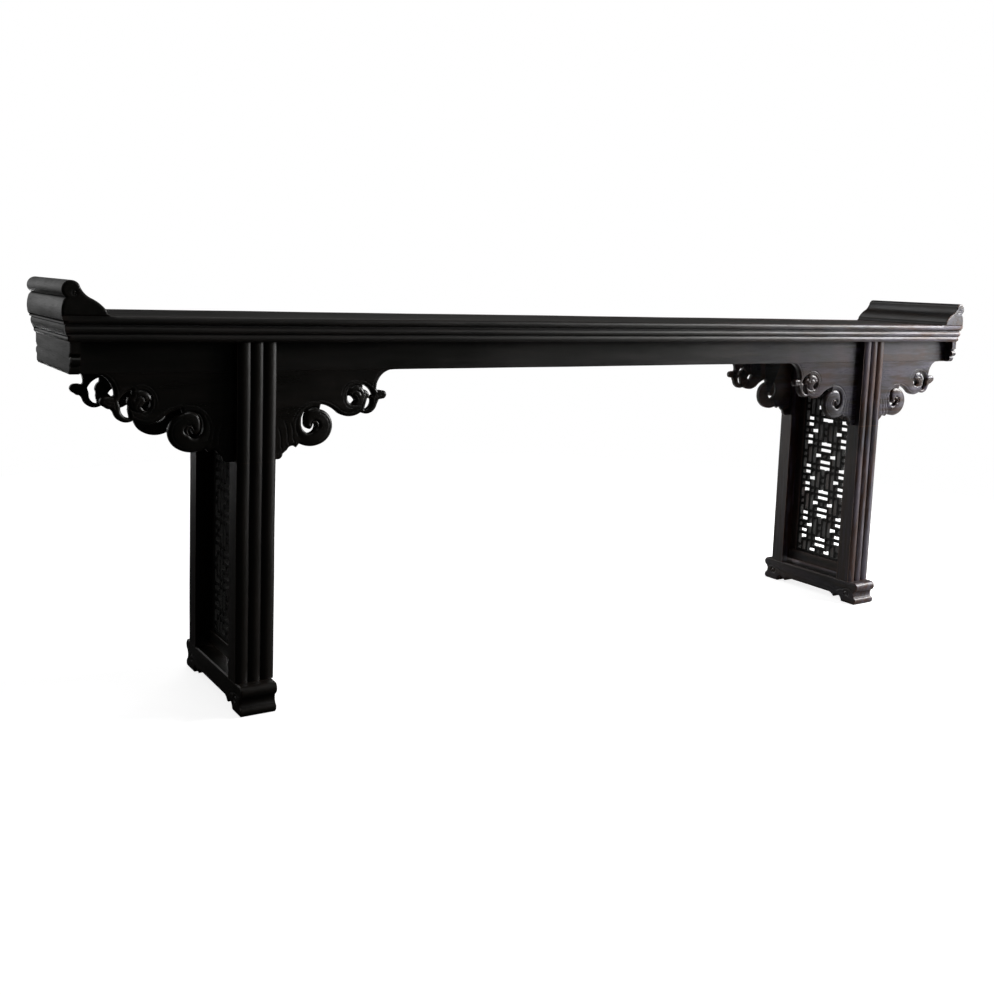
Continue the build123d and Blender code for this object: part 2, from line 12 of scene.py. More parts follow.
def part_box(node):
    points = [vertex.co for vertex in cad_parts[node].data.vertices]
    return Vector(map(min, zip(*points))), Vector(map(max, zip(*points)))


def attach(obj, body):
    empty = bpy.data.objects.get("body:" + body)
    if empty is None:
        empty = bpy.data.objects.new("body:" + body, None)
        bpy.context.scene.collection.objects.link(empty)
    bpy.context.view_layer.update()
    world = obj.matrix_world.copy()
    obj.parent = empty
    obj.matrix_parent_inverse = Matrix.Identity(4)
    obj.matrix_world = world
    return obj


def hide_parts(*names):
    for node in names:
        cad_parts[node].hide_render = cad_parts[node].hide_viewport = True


bl_info = {
    "name": "Altar table with everted ends",
    "version": (1, 0, 0),
    "blender": (4, 5, 0),
    "location": "3D View > Sidebar > Altar table",
    "description": "Builds a lacquered elm altar table with carved spandrels and lattice ends",
    "category": "Object",
}

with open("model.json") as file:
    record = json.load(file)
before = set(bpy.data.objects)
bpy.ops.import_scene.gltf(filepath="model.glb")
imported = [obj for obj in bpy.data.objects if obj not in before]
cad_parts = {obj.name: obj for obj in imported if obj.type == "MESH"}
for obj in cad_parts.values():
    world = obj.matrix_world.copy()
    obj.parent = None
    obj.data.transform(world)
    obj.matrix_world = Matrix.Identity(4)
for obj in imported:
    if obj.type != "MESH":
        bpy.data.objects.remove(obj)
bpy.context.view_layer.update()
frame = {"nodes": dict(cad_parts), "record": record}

MM = 0.001  # the script works in millimetres, and a mesh in metres
SIDES = (("left", -1), ("right", 1))  # each with its sign along X
FACES = (("front", -1), ("rear", 1))  # each with its sign along Y
SLOTS = {part["node"]: part["material_slot"] for part in frame["record"]["subparts"]}


# ---- Sizes taken from the frame, in millimetres ----
def limits(node):
    """Lowest and highest corner of a frame node."""
    low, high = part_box(node)
    return np.array(low) / MM, np.array(high) / MM


end_low, end_high = limits("right_flanged_end")
apron_low, apron_high = limits("rear_apron")
end_apron_low, end_apron_high = limits("right_end_apron")
spandrel_low, spandrel_high = limits("rear_outer_spandrels")
leg_low, leg_high = limits("rear_right_leg")
runner_low, runner_high = limits("right_runner")
stile_low, stile_high = limits("rear_right_lattice_stile")
lower_rail_low, lower_rail_high = limits("right_lower_rail")
upper_rail_low, upper_rail_high = limits("right_upper_rail")
field_low, field_high = limits("right_lattice_uprights")

half_length = end_high[0]
inner_length = end_low[0]
half_depth = end_high[1]
inner_depth = limits("rear_top_rail")[0][1]
underside = end_low[2]
flange_top = end_high[2]
surface = limits("top_panel")[1][2]
apron_bottom = apron_low[2]
spandrel_drop = apron_bottom - spandrel_low[2]
spandrel_reach = spandrel_high[0] - leg_high[0]
leg_centre = (leg_low[0] + leg_high[0]) / 2
leg_width = leg_high[0] - leg_low[0]
runner_height = runner_high[2]
toe = runner_high[1]

# ---- Sizes that two profiles share, in millimetres ----
edge_foot = half_depth - 9.5  # lower corner of the moulded edge
edge_round, edge_drop = 6.0, 9.0  # rounding of the edge beside the surface: across, and down
roll_centre = np.array((half_length - 19.0, flange_top - 18.0))


# ---- Settings a user would change ----
def length(name, description, millimetres):
    """A length property, shown in the scene's unit."""
    return bpy.props.FloatProperty(
        name=name, description=description, default=millimetres * MM, min=0.0, unit="LENGTH", precision=4)


def linear(code):
    """An sRGB hex colour as linear red, green and blue."""
    shares = [int(code[place:place + 2], 16) / 255 for place in (1, 3, 5)]
    return [share / 12.92 if share <= 0.04045 else ((share + 0.055) / 1.055) ** 2.4 for share in shares]


def colour(name, description, code):
    """A colour property with its default as an sRGB hex code."""
    return bpy.props.FloatVectorProperty(
        name=name, description=description, default=linear(code), size=3, subtype="COLOR", min=0.0, max=1.0)


class AltarTableSizes(bpy.types.PropertyGroup):
    """Depths of carving and softness of edges."""

    scroll_depth: length("Scroll depth", "Depth of the grooves that part the scrolls", 6.0)
    scroll_crown: length("Scroll crown", "How far the scrolls stand proud in the middle", 3.5)
    line_depth: length("Line depth", "Depth of the fine lines cut round the scrolls", 1.3)
    pillow: length("Pillowed edge", "How far in the carved edges are rounded over", 9.0)
    pillow_drop: length("Pillowed edge drop", "How far the carved edges fall at the outline", 4.5)
    softening: length("Softened corners", "Rounding of the roll's ends and the runners' sides", 3.0)
    unevenness: length("Unevenness", "How far the hand-planed faces wander", 0.35)
    stick_crown: length("Lattice crown", "How far the lattice sticks' faces are rounded", 0.6)
    carving_grid: length("Carving grid", "Distance between the points of the carved faces", 1.8)


class AltarTableColours(bpy.types.PropertyGroup):
    """Colours of the lacquer, its rubbing and dirt with their painted highlight, sheen and shade, and the
    stage.
    """

    lacquer: colour("Lacquer", "Near black lacquer, as most of it is", "#171612")
    lacquer_thin: colour("Thin lacquer", "Where the lacquer is thin and the wood glows through", "#452619")
    # painted highlight together with rubbing: this pale colour goes on arrises and crests, where highlights
    # fall
    rubbed: colour("Rubbed wood", "Arrises and crests rubbed to the wood", "#6a4c3c")
    # painted sheen: a milky haze of old lacquer, tinted bluish to stand for the reflection of bluish light
    bloom_sheen: colour("Bloom", "Milky haze that old lacquer takes in the light", "#605c6a")
    # painted shade together with dirt: near black laid in the pores, the hollows and over the lattice
    hollow_dirt_and_shade: colour("Hollows", "Dirt and old wax in the hollows", "#060505")
    floor: colour("Floor", "Pale studio floor", "#f2f2f2")


# ---- Flat outlines ----
def run(start, *legs, step=2.0, closed=True):
    """Points along (end, bulge) legs from a start; an arc bulges to the left of its travel."""
    points = []
    here = np.array(start, float)
    targets = list(legs) + ([(start, 0)] if closed else [])
    for end, bulge in targets:
        there = np.array(end, float)
        chord = np.linalg.norm(there - here)
        if chord < 1e-6:
            continue
        along = (there - here) / chord
        left = np.array([-along[1], along[0]])
        if bulge:
            radius = (chord * chord / 4 + bulge * bulge) / (2 * abs(bulge))
            half = 2 * math.atan(2 * abs(bulge) / chord)
            count = max(2, math.ceil(2 * half * radius / step), math.ceil(2 * half / 0.25))
            swing = np.linspace(-half, half, count + 1)[:-1]
            rise = math.copysign(1, bulge) * (radius * np.cos(swing) - radius + abs(bulge))
            points.append((here + there) / 2 + np.outer(radius * np.sin(swing), along) + np.outer(rise, left))
        else:
            count = max(1, math.ceil(chord / step))
            points.append(here + np.outer(np.arange(count) / count, there - here))
        here = there
    if not closed:
        points.append(here[None])
    return np.concatenate(points)


def inside(points, outlines):
    """Whether each point lies within the outlines, the later ones being holes."""
    within = np.zeros(len(points), bool)
    height = points[:, 1, None]
    for line in outlines:
        after = np.roll(line, -1, axis=0)
        crosses = (line[:, 1] > height) != (after[:, 1] > height)
        rise = np.where(after[:, 1] == line[:, 1], 1.0, after[:, 1] - line[:, 1])
        at = line[:, 0] + (height - line[:, 1]) * (after[:, 0] - line[:, 0]) / rise
        within ^= (crosses & (points[:, 0, None] < at)).sum(1) % 2 == 1
    return within


def distance(points, line):
    """Distance from each point to an open line of points."""
    start, along = line[:-1], np.diff(line, axis=0)
    square = np.maximum((along ** 2).sum(1), 1e-12)
    nearest = np.empty(len(points))
    for first in range(0, len(points), 2000):
        some = points[first:first + 2000, None]
        share = np.clip(((some - start) * along).sum(2) / square, 0, 1)
        gap = some - start - share[..., None] * along
        nearest[first:first + 2000] = np.sqrt((gap ** 2).sum(2).min(1))
    return nearest


def ring(line):
    """A closed outline as an open line that returns to its start."""
    return np.vstack([line, line[:1]])


def mirrored(half):
    """A whole outline from its right half, whose ends lie on the middle line."""
    half = half[half[:, 0] > 0.01]
    return np.concatenate([half, (half * (-1, 1))[::-1]])


def rounded_drop(gap, reach, depth):
    """Fall of a quarter-round beside a valley: the whole depth at it, and nothing beyond the reach."""
    share = 1 - np.clip(gap / reach, 0, 1)
    return depth * (1 - np.sqrt(1 - share ** 2))


def exposure(line, reach=2.5):
    """How far each point of a closed outline stands out of its neighbours: above 0 on an arris."""
    after = np.roll(line, -1, axis=0)
    spacing = max(np.median(np.linalg.norm(after - line, axis=1)), 0.4)
    skip = max(1, round(reach / spacing))
    ahead, behind = np.roll(line, -skip, axis=0), np.roll(line, skip, axis=0)
    area = (line[:, 0] * after[:, 1] - after[:, 0] * line[:, 1]).sum()
    along = ahead - behind
    outward = np.stack([along[:, 1], -along[:, 0]], 1) * (1 if area > 0 else -1)
    outward /= np.maximum(np.linalg.norm(outward, axis=1, keepdims=True), 1e-6)
    return ((line - (ahead + behind) / 2) * outward).sum(1) / reach


# ---- Solids over a flat region ----
def even_rings(spacing):
    """Rings of wall points about this far apart, with one close to either rim."""
    def heights(low, high):
        count = max(2, round(float(np.max(high - low)) / spacing))
        shares = np.linspace(0, 1, count + 1)[1:-1]
        rings = [low + (high - low) * share for share in shares]
        close = np.minimum(2.0, (high - low) / (3 * count))
        return np.array([low + close] + rings + [high - close])
    return heights


RIM_WEAR_AND_HIGHLIGHT = 0.35  # how much more a cap's rim is exposed than the wall: the rim is painted paler, rubbing together with painted highlight
CURVE_WEAR_AND_SHADING = 1.6  # exposure of a carved point for each unit that it stands over its neighbours: crests are painted paler and hollows darker, rubbing and dirt together with painted highlight and shade


def slab(outlines, low, high, grid=(0, 0), rings=20):
    """Closed solid: walls along the outlines, from low to high, and a cap at each end.

    Low and high are heights, or functions of the flat points. A cap with a grid has inner points that far
    apart, so that it can be carved. Rings is the distance between rings of wall points, or a function that
    places them. Returns the points, the faces and how exposed each point is.
    """
    rings = rings if callable(rings) else even_rings(rings)
    rim = np.concatenate(outlines)
    edges, start = [], 0
    rim_exposure = []
    for line in outlines:
        places = np.arange(start, start + len(line))
        edges += list(zip(places.tolist(), np.roll(places, -1).tolist()))
        start += len(line)
        rim_exposure.append(exposure(line) * (1 if line is outlines[0] else -1))
    rim_exposure = np.concatenate(rim_exposure)
    count = len(rim)

    caps = []
    for side, height, spacing in ((-1, low, grid[0]), (1, high, grid[1])):
        shape = height if callable(height) else (lambda flat, level=height: np.full(len(flat), float(level)))
        flat = rim
        if spacing:
            flat = np.concatenate([rim, inner_points(outlines, spacing)])
        wear_and_shading = np.concatenate([rim_exposure, np.zeros(len(flat) - count)])
        level = shape(flat)
        if spacing:
            shifts = ((spacing, 0), (-spacing, 0), (0, spacing), (0, -spacing))
            around = sum(shape(flat + shift) for shift in shifts) / 4
            wear_and_shading[count:] = (side * (level - around) / spacing)[count:] * CURVE_WEAR_AND_SHADING
        result = delaunay_2d_cdt([Vector(place) for place in flat], edges, [], 1, 1e-4)
        source = [ids[0] if ids else -1 for ids in result[3]]
        triangles = np.array([[source[place] for place in face] for face in result[2]])
        if triangles.min() < 0:
            raise RuntimeError("an outline crosses itself")
        centres = flat[triangles].mean(1)
        triangles = triangles[inside(centres, outlines)]
        caps.append((np.column_stack([flat, level]), triangles, wear_and_shading))

    (low_points, low_faces, low_wear_and_shading), (high_points, high_faces, high_wear_and_shading) = caps
    between = rings(low_points[:count, 2], high_points[:count, 2])
    wall = [np.column_stack([rim, level]) for level in between]
    points = np.concatenate([low_points, high_points] + wall)
    wear_and_shading = np.concatenate([low_wear_and_shading, high_wear_and_shading] + [rim_exposure] * len(wall))
    first_high = len(low_points)
    wear_and_shading[:count] += RIM_WEAR_AND_HIGHLIGHT
    wear_and_shading[first_high:first_high + count] += RIM_WEAR_AND_HIGHLIGHT
    first_wall = first_high + len(high_points)
    starts = [0, *range(first_wall, first_wall + count * len(wall), count), first_high]
    faces = low_faces.tolist() + (high_faces + first_high).tolist()
    for below, above in zip(starts[:-1], starts[1:]):
        faces += [(below + a, below + b, above + b, above + a) for a, b in edges]
    return points, faces, wear_and_shading


def inner_points(outlines, spacing):
    """Points of a staggered grid that lie within the outlines and clear of them."""
    low, high = outlines[0].min(0), outlines[0].max(0)
    columns = np.arange(low[0] + spacing / 2, high[0], spacing)
    rows = np.arange(low[1] + spacing / 2, high[1], spacing * 0.87)
    across, up = np.meshgrid(columns, rows)
    across = across + (np.arange(len(rows)) % 2)[:, None] * spacing / 2
    points = np.column_stack([across.ravel(), up.ravel()])
    points = points[inside(points, outlines)]
    clear = np.ones(len(points), bool)
    for line in outlines:
        clear &= distance(points, ring(line)) > spacing * 0.55
    return points[clear]


def settings():
    """The sizes that the sidebar shows."""
    return bpy.context.scene.altar_table_sizes


def finish_colours():
    """The colours that the sidebar shows."""
    return bpy.context.scene.altar_table_colours


PLANING_WAVES = (  # axis moved, share of the unevenness, radians per 100 mm along X, Y and Z, and phase
    (0, 0.6, (0, 0.7, 1.3), 0.4), (0, 0.36, (0, 1.9, 2.9), 2.1),
    (1, 0.6, (0.83, 0, 1.1), 0.0), (1, 0.3, (2.3, 0, 0.6), 1.3),
    (2, 0.6, (0.71, 0.9, 0), 0.5), (2, 0.3, (2.1, 0, 0), 1.7),
)
PLUMB_HEIGHT = 30.0  # below it the pieces come back to their places, so that the feet stand flat


def wander(points):
    """Slow unevenness of hand-planed wood, the same wherever two pieces meet."""
    moved = points.copy()
    size = settings().unevenness / MM
    off_floor = np.clip(points[:, 2] / PLUMB_HEIGHT, 0, 1)
    for axis, share, turns, phase in PLANING_WAVES:
        wave = size * share * np.sin(points @ turns / 100 + phase)
        moved[:, axis] += wave * (1 if axis == 0 else off_floor)
    return moved


def add_object(name, data):
    """A new object in the scene."""
    made = bpy.data.objects.new(name, data)
    bpy.context.scene.collection.objects.link(made)
    return made


ORDERS = {"lengthwise": (2, 0, 1), "crosswise": (0, 2, 1), "upright": (0, 1, 2)}


def add_pieces(name, shells, way, finish, node, crease=38):
    """Mesh objects from closed solids that run this way, riding on the table and standing for frame nodes.

    Where the name has a side or a face in it, there is a mirrored piece for each.
    """
    points = np.concatenate([shell[0][:, ORDERS[way]] for shell in shells])
    wear_and_shading = np.concatenate([shell[2] for shell in shells]).astype(np.float32)
    starts = np.cumsum([0] + [len(shell[0]) for shell in shells]).tolist()
    faces = [[place + start for place in corners]
             for shell, start in zip(shells, starts) for corners in shell[1]]
    for side, x_sign in SIDES if "{side}" in name else (("", 1),):
        for face, y_sign in FACES if "{face}" in name else (("", 1),):
            label, stood_for = name.format(side=side, face=face), node.format(side=side, face=face)
            mesh = bpy.data.meshes.new(label)
            mesh.from_pydata((wander(points * (x_sign, y_sign, 1)) * MM).tolist(), [], faces)
            mesh.attributes.new("exposure", "FLOAT", "POINT").data.foreach_set("value", wear_and_shading)
            shape = bmesh.new()
            shape.from_mesh(mesh)
            bmesh.ops.recalc_face_normals(shape, faces=shape.faces)
            shape.to_mesh(mesh)
            shape.free()
            mesh.shade_smooth()
            mesh.set_sharp_from_angle(angle=math.radians(crease))
            mesh.materials.append(bpy.data.materials[finish])
            piece = add_object(label, mesh)
            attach(piece, "root")
            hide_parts(stood_for)


# ---- Outlines of the pieces ----
def edge_line():
    """Outer line of a long rail's moulded edge, as (Y, Z), from its foot to the surface."""
    return run(
        (edge_foot, underside),
        ((half_depth - 8.0, underside + 16.5), -4.5),  # lower bead
        ((half_depth - 7.0, underside + 32.0), -5.0),  # upper bead
        ((half_depth - 7.0, underside + 36.0), 0),  # quirk
        ((half_depth, surface - edge_drop), -2.0),  # fascia
        ((half_depth - edge_round, surface), -2.0),
        step=1.2, closed=False,
    )


def end_line():
    """Outer line of a flanged end, as (X, Z), from its foot over the roll to the surface inside."""
    roll_x, roll_z = roll_centre
    bands = (  # inset from the end's fullest part, rise from its foot, and bulge
        (14.5, 9.5, -2.0),  # bead
        (19, 10, 0), (19, 12, 0), (12, 12.5, 0),  # quirk
        (7.5, 34, -1.5),  # cushion
        (9, 34.5, 0), (9, 36, 0), (5, 36.5, 0), (5, 40, 0),  # quirk and fillet
        (12, 40.5, 0), (12, 43.5, 0), (2.5, 44, 0),  # quirk
        (2.5, 79, -2.5),  # bulge
    )
    return run(
        (half_length - 17, underside),
        *[((half_length - inset, underside + rise), bulge) for inset, rise, bulge in bands],
        ((roll_x + 10, roll_z - 16), -1.25),  # groove under the roll
        ((roll_x - 15.3, roll_z + 9.54), -22.5),  # roll
        ((half_length - 59, surface + 34.5), 4.0),  # inner face, down to the surface
        ((half_length - 87, surface + 11.5), -2.0),
        ((inner_length, surface), 2.0),
        step=1.5, closed=False,
    )


def end_reach(heights):
    """How far a flanged end reaches at each height below the surface."""
    line = end_line()
    outer = line[:np.argmax(line[:, 1] > surface) + 1]
    return np.interp(heights, outer[:, 1], outer[:, 0])


SQUARES_ALONG, SQUARES_DOWN = 60, 40  # a spandrel's pattern, from the leg's edge and from the apron


def squares(*points):
    """An outline drawn on the carver's squares: along from the leg's edge, down from the apron, and bulge."""
    along, down = spandrel_reach / SQUARES_ALONG, spandrel_drop / SQUARES_DOWN
    (first_x, first_y), *rest = points
    legs = [((x * along, apron_bottom - y * down), bulge * (along + down) / 2) for x, y, bulge in rest]
    return run((first_x * along, apron_bottom - first_y * down), *legs, step=1.6)


def spandrel_outlines(place):
    """Silhouette of a spandrel with its tongue into the leg, then its pierced openings.

    The outer ones end in a fuller leaf, and their two crescents run together.
    """
    tongue = -leg_width / 2 * SQUARES_ALONG / spandrel_reach
    if place == "outer":
        leaf = [(54.6, 9.7, 0.2), (55.2, 13.8, 2.0), (52.7, 14.9, 0.4)]
        crescents = [squares(
            (43.9, 7), (49.3, 11.7, 0.85), (48.6, 14.2, 0), (44.9, 18.9, 1.3),
            (45.6, 15.5, 0), (45.9, 12.6, 0.3), (43.9, 9.0, -0.6))]
    else:
        leaf = [(54.3, 10.0, 0.2), (54.4, 13.9, 2.0), (52.5, 14.2, 0)]
        crescents = [
            squares((43.9, 7), (49.1, 11.8, 0.85), (47.5, 13, 0), (44.1, 9.2, -1.05)),
            squares((46.4, 13.6), (48.2, 14, 0.4), (44.9, 18.8, 1.3))]
    return [
        squares(
            (tongue, 0), (SQUARES_ALONG, 0, 0),
            (51.1, 9.2, -2.7), (51.7, 10, 0),
            *leaf, (51.5, 16.4, 0),
            (43.3, 20, 2.3), (31.5, 19.8, 1.8), (23.1, 15.6, -0.75),
            (22.5, 17.8, 0), (28.9, 25.7, 1.8), (24.9, 33, 1), (12.7, 33.3, 1.65),
            (11.3, 35, 0), (7.1, 35.8, -1.2), (4.9, 37.6, 0), (2.2, SQUARES_DOWN, 0.9),
            (tongue, SQUARES_DOWN, 0),
        ),
        *crescents,
        squares((36.3, 12), (40.1, 14.4, 0.75), (38.5, 16, 0), (36.3, 12, 0.95)),
        squares(
            (15.8, 17.8), (13.5, 23.5, -0.7), (16.9, 28.7, -1.1), (20.3, 25.8, -0.9), (20.0, 24.2, -0.2),
            (18.9, 25.0, -0.4), (17.5, 26.8, 0.3), (15.0, 23.5, 0.9), (16.2, 18.2, 0.5)),
    ]


def sweep(centre, *stops):
    """A curve round a centre through (angle in degrees, radius) stops."""
    angles, radii = zip(*stops)
    turn = np.linspace(angles[0], angles[-1], max(6, int(abs(angles[-1] - angles[0]) / 6)))
    order = np.argsort(angles)
    reach = np.interp(turn, np.array(angles)[order], np.array(radii)[order])
    turn = np.radians(turn)
    return np.array(centre) + np.column_stack([reach * np.cos(turn), reach * np.sin(turn)])


def spandrel_relief(outlines):
    """Height of a spandrel's carved face over its plain level, as a function of flat points."""
    sizes = settings()
    deep, fine = sizes.scroll_depth / MM, sizes.line_depth / MM
    crown, pillow, fall = sizes.scroll_crown / MM, sizes.pillow / MM, sizes.pillow_drop / MM
    big, small = (101.0, 641.0), (203.0, 707.0)  # middles of the two scrolls
    border, fine_reach = 9.0, 3.0  # inset of the line along the edge, and a fine line's reach
    silhouette = ring(outlines[0])
    free_edge = [*outlines[1:], silhouette[(silhouette[:, 1] < apron_bottom - 1) & (silhouette[:, 0] > 1)]]
    grooves = [
        (sweep(big, (66, 41), (100, 43), (132, 42)), deep, 9.0),
        (sweep(big, (246, 8), (300, 7), (400, 11), (470, 14), (520, 12)), deep * 0.7, 7.0),
        (sweep(small, (30, 22), (80, 25), (150, 25), (215, 21), (290, 22), (330, 24)), deep * 0.6, 6.0),
        (sweep(small, (20, 12), (110, 12), (190, 9)), deep * 0.5, 5.0),
    ]
    for centre, *stops in (
            (big, (62, 49), (110, 50), (165, 48), (205, 46)), (big, (70, 56), (110, 57), (160, 55)),
            (small, (70, 31), (120, 32), (200, 31)), (small, (80, 37), (120, 38), (175, 37))):
        grooves.append((sweep(centre, *stops), fine, fine_reach))
    for top, middle, tip, bow in (  # strokes beside the leg
            ((27, 655), (34, 610), (44, 584), 3), ((42, 650), (47, 616), (54, 596), 2),
            ((12, 640), (18, 600), (24, 576), 3)):
        grooves.append((run(top, (middle, bow), (tip, 1), closed=False), fine, fine_reach))

    def relief(flat):
        edge = np.min([distance(flat, line) for line in free_edge], axis=0)
        drop = rounded_drop(edge, pillow, fall)
        bordered = (flat[:, 0] > 112) | (flat[:, 1] < 600)
        drop = np.maximum(drop, np.where(bordered, rounded_drop(np.abs(edge - border), fine_reach, fine), 0))
        for line, depth, reach in grooves:
            drop = np.maximum(drop, rounded_drop(distance(flat, line), reach, depth))
        for centre, radius in ((big, 44.0), (small, 26.0)):
            off = np.hypot(*(flat - centre).T) / radius
            drop = drop - crown * np.clip(1 - off ** 2, 0, 1)
        return -drop

    return relief


def runner_outline():
    """A whole runner seen from the end: level arch, cusp, notched heel, pad and scrolled toe."""
    arch_height = 18.5
    pad = toe - 10
    heel = pad - 52
    cusp = heel - 33
    return mirrored(run(
        (0, runner_height), ((0, arch_height), 0), ((cusp - 18, arch_height), 0),
        ((cusp, 7.0), 2.25), ((heel - 13, 18.0), 2.25), ((heel, 0), 2.6), ((pad, 0), 0),
        ((toe - 11, 21.0), -6.5), ((toe - 9, runner_height - 27), 4.5), ((toe - 17, runner_height), -12.0)))


def leg_outline():
    """Plan of a leg: plain back and sides, and three full reeds across the face."""
    half, margin, reed_height = leg_width / 2, 1.5, 5.0
    fillet = leg_high[1] - reed_height
    reed = (leg_width - 2 * margin) / 3
    legs = [((half, leg_low[1]), 0), ((half, fillet), 0), ((half - margin, fillet), 0)]
    legs += [((half - margin - number * reed, fillet), -reed_height) for number in (1, 2, 3)]
    legs.append(((-half, fillet), 0))
    return run((-half, leg_low[1]), *legs, step=1.3) + (leg_centre, 0)


def box_outline(low, high, softening=1.0, step=8.0):
    """A rectangle with its corners softened."""
    (x0, y0), (x1, y1), soft = low, high, softening
    bulge = -soft * 0.3  # close to a quarter circle's
    return run(
        (x0 + soft, y0), ((x1 - soft, y0), 0), ((x1, y0 + soft), bulge), ((x1, y1 - soft), 0),
        ((x1 - soft, y1), bulge), ((x0 + soft, y1), 0), ((x0, y1 - soft), bulge),
        ((x0, y0 + soft), 0), ((x0 + soft, y0), bulge), step=step)


# ---- Materials ----
def add_node(tree, kind, inputs=None, **values):
    """One shader node with its settings, and its inputs set or linked."""
    made = tree.nodes.new("ShaderNode" + kind)
    for name, value in values.items():
        setattr(made, name, value)
    for name, value in (inputs or {}).items():
        if isinstance(value, bpy.types.NodeSocket):
            tree.links.new(value, made.inputs[name])
        else:
            made.inputs[name].default_value = value
    return made


def node_adder(owner):
    """What adds nodes to a material or a world, its own ones cleared away."""
    owner.use_nodes = True
    owner.node_tree.nodes.clear()
    return functools.partial(add_node, owner.node_tree)


def elm(name, grain, thin_share, bloom_sheen_share, rub_and_highlight_share, roughness):
    """Northern elm, planed by hand, under near black lacquer that has worn and dulled with age.

    The grain runs along one axis. Its pores give broken dark streaks and thin lacquer glows red-brown. The
    arrises and crests are painted pale and dull, for rubbing together with painted highlight, and the hollows
    are painted black, for old wax together with painted shade. Towards the front's right end, where the light
    falls, the colours are painted lighter and warmer: painted light, with a bluish haze along the rings that
    stands for a milky haze together with painted sheen, and the rubbing shows most there.
    """
    colours = finish_colours()
    add = node_adder(bpy.data.materials.new(name))
    place = add("TexCoord").outputs["Object"]
    noises = {}
    for kind, across, along, detail, rough in (  # waves per metre across and along the grain
            ("streaks", 50.0, 5.0, 5.0, 0.62),  # growth rings cut lengthwise, about 20 mm apart
            ("pores", 520.0, 26.0, 3.0, 0.6),  # open pores, about 2 mm wide and 40 mm long
            ("patches", 5.0, 5.0, 4.0, 0.55),  # thin and thick lacquer, hand-sized
            ("scuffs", 70.0, 45.0, 4.0, 0.65)):  # rubbing and dust, about 15 mm across
        stretch = [across] * 3
        stretch[grain] = along
        mapped = add("Mapping", {"Vector": place, "Scale": stretch}).outputs["Vector"]
        noises[kind] = add("TexNoise", {
            "Vector": mapped, "Scale": 1.0, "Detail": detail, "Roughness": rough}).outputs["Fac"]
    exposed = add("Attribute", attribute_name="exposure").outputs["Fac"]
    along_table = add("SeparateXYZ", {"Vector": place}).outputs["X"]
    turned = add("SeparateXYZ", {"Vector": add("NewGeometry").outputs["Normal"]}).outputs["Y"]
    lit = add("MapRange", {  # painted light: faces turned to the front, where the light falls, take more of it
        "Value": turned, "From Min": 0.0, "From Max": -0.6, "To Min": 0.3, "To Max": 1.0}).outputs["Result"]
    # painted light: every layer grows stronger towards the front's right end, where the light falls, so the
    # colours there are painted lighter and warmer
    painted_light_right_front = add("MapRange", {
        "Value": along_table, "From Min": 0.3, "From Max": 1.3, "To Max": lit}).outputs["Result"]
    # pale arrises and crests: rubbing together with painted highlight
    rub_and_highlight_sum = add("Math", {0: noises["scuffs"], 1: 0.35, 2: exposed}, operation="MULTIPLY_ADD").outputs[0]
    thin_from = 0.62 - 0.35 * thin_share  # where the patches start to be thin

    shares = {"mottled": noises["patches"]}
    body = (*colours.lacquer, 1)
    # what drives each layer, its values where the layer starts and is full, its strength where the light is
    # dim and where the painted light is full
    for layer, value, least, most, strength_where_dim, old, tone in (
            ("thin", noises["patches"], thin_from, thin_from + 0.18, 0.05, 1.0, colours.lacquer_thin),
            ("ringed", noises["streaks"], 0.5, 0.62, 0.05, 0.4 + 0.5 * thin_share, colours.lacquer_thin),
            # painted sheen: the bluish haze along the rings is bloom together with a painted reflection of
            # bluish light
            ("bloom_and_sheen", noises["streaks"], 0.55, 0.42, 0.0, bloom_sheen_share, colours.bloom_sheen),
            ("pored", noises["pores"], 0.5, 0.72, 0.6, 0.6, colours.hollow_dirt_and_shade),
            # fine scratches in the bluish tone: scratches together with painted sheen
            ("scratched", noises["pores"], 0.36, 0.28, 0.0, 0.7, colours.bloom_sheen),
            # pale arrises and crests: rubbed wood together with painted highlight
            ("rubbed", rub_and_highlight_sum, 0.32, 0.62, 0.2 * rub_and_highlight_share, 1.5 * rub_and_highlight_share, colours.rubbed),
            # black hollows: dirt and wax together with painted shade in the recesses
            ("sunk", exposed, -0.03, -0.22, 0.9, 0.9, colours.hollow_dirt_and_shade)):
        strength = add("MapRange", {"Value": painted_light_right_front, "To Min": strength_where_dim, "To Max": old}).outputs["Result"]
        shares[layer] = add("MapRange", {
            "Value": value, "From Min": least, "From Max": most, "To Max": strength}).outputs["Result"]
        body = add("Mix", {0: shares[layer], 6: body, 7: (*tone, 1)}, data_type="RGBA").outputs[2]

    gloss = add("MapRange", {
        "Value": noises["streaks"], "From Min": 0.3, "From Max": 0.75,
        "To Min": roughness - 0.15, "To Max": roughness - 0.02}).outputs["Result"]
    for layer, duller in (("sunk", 0.3), ("rubbed", 0.1), ("pored", 0.15), ("mottled", 0.2)):
        gloss = add("Math", {0: shares[layer], 1: duller, 2: gloss}, operation="MULTIPLY_ADD").outputs[0]

    relief = add("Math", {
        0: noises["pores"], 1: 0.4, 2: noises["streaks"]}, operation="MULTIPLY_ADD").outputs[0]
    normal = add("Bump", {"Height": relief, "Strength": 0.4, "Distance": 0.0006})
    normal = add("Bump", {
        "Height": noises["scuffs"], "Strength": 0.3, "Distance": 0.0008, "Normal": normal.outputs["Normal"]})
    lacquer_ior = 1.5
    shader = add("BsdfPrincipled", {
        "Base Color": body, "Roughness": gloss, "Normal": normal.outputs["Normal"], "IOR": lacquer_ior})
    add("OutputMaterial", {"Surface": shader.outputs["BSDF"]})


